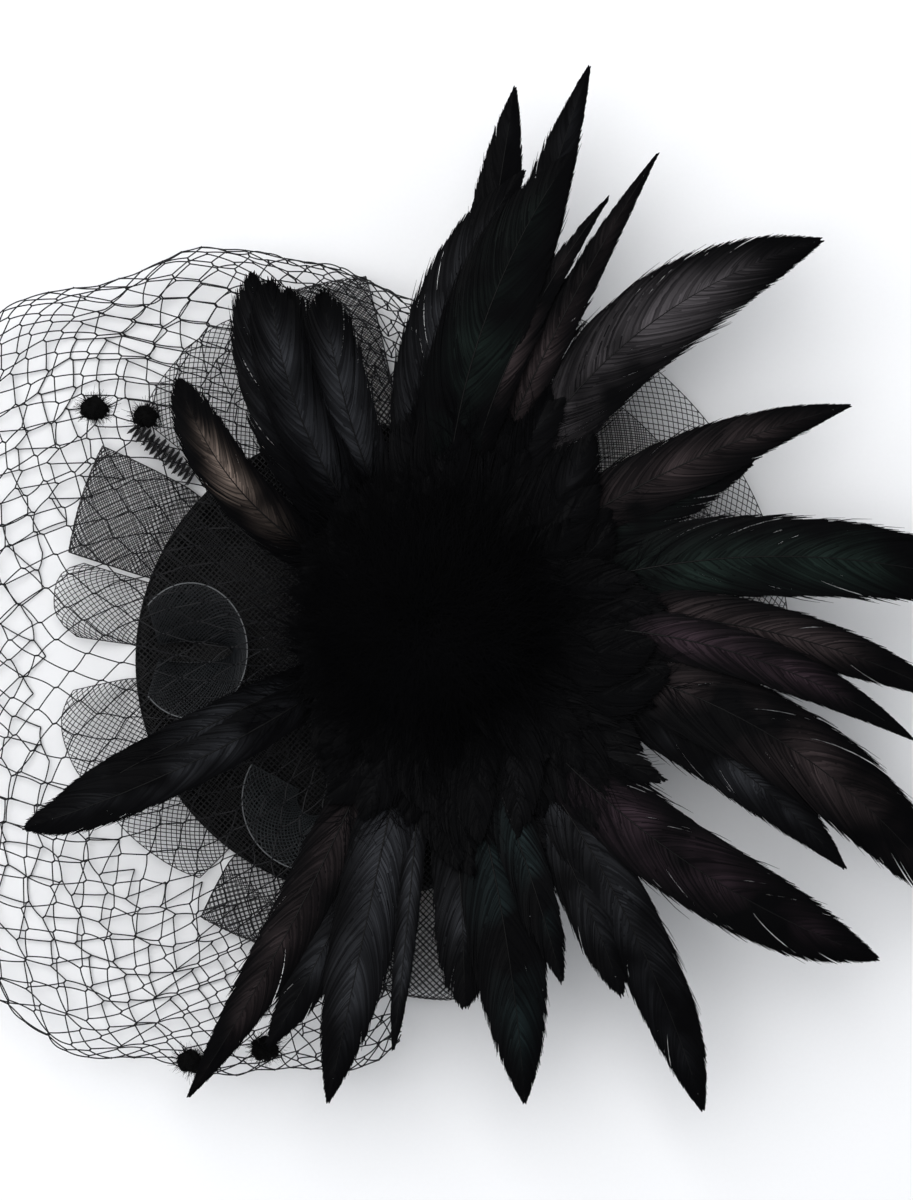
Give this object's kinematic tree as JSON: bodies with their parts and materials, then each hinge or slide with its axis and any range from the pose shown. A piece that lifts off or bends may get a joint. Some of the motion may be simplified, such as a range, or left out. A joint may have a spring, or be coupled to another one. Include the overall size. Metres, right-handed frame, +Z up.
{
  "type": "fascinator headpiece",
  "caption": "Round black crin base with looped crin bands, a ballooning diamond net veil with chenille dots, a fan of long cock feathers, and a sprung hair clip underneath.",
  "frame": {"origin": "middle of the base, on the lowest flat face of the hair clip, level with the table it lies on", "axes": "+Z up out of the crown, +X towards the long feathers, away from the veil"},
  "size_m": [0.3323, 0.2935, 0.0487],
  "materials": {
    "base_sinamay": "stiffened black crin cloth, woven, dull",
    "binding": "smooth black bias binding",
    "millinery_wire": "black covered wire",
    "felt": "black wool felt",
    "clip_steel": "nickel plated sheet steel",
    "hackle_down": "soft black down",
    "feather_black": "black cock feather with a soft grey sheen and faint brown, purple and green",
    "veil_net": "black nylon thread, knotted",
    "chenille": "fuzzy black pile",
    "crin": "open mesh of black nylon monofilament, slight gloss"
  },
  "bodies": {
    "headpiece": {"base_disc": "base_sinamay", "rim_wire": "millinery_wire", "rim_binding": "binding", "base_lining": "felt", "clip_patch": "felt", "clip_fixed_jaw": "clip_steel", "clip_pin": "clip_steel", "clip_spring": "clip_steel", "feather_mount": "felt", "hackle_pad": "hackle_down", "feather_01": "feather_black", "feather_02": "feather_black", "feather_03": "feather_black", "feather_04": "feather_black", "feather_05": "feather_black", "feather_06": "feather_black", "feather_07": "feather_black", "feather_08": "feather_black", "feather_09": "feather_black", "feather_10": "feather_black", "feather_11": "feather_black", "feather_12": "feather_black", "feather_13": "feather_black", "feather_14": "feather_black", "feather_15": "feather_black", "feather_16": "feather_black", "feather_17": "feather_black", "feather_18": "feather_black", "feather_19": "feather_black", "feather_20": "feather_black", "feather_21": "feather_black", "feather_22": "feather_black", "feather_23": "feather_black", "feather_24": "feather_black", "feather_25": "feather_black", "feather_26": "feather_black", "feather_27": "feather_black", "feather_28": "feather_black", "feather_29": "feather_black", "feather_30": "feather_black", "feather_31": "feather_black", "feather_32": "feather_black", "veil_net": "veil_net", "chenille_dot_1": "chenille", "chenille_dot_2": "chenille", "chenille_dot_3": "chenille", "chenille_dot_4": "chenille", "crin_loop_top": "crin", "crin_loop_left": "crin", "crin_loop_bottom_left": "crin", "crin_loop_bottom": "crin", "crin_flap_upper_left": "crin", "crin_flap_left": "crin", "crin_flap_lower_left": "crin", "crin_flap_lower": "crin", "crin_brim": "crin", "crin_curl": "crin", "crin_petal": "crin", "crin_frill": "crin"},
    "clip_jaw": {"clip_moving_jaw": "clip_steel"}
  },
  "joints": [
    {"name": "clip_open", "type": "hinge", "parent": "headpiece", "child": "clip_jaw", "pos_m": [0.009, 0, 0.0026], "axis": [0, -1, 0], "range_deg": [0, 12], "stiffness_Nm_per_rad": 0.15, "springref_deg": -14.32, "deforming": ["clip_spring"]}
  ]
}
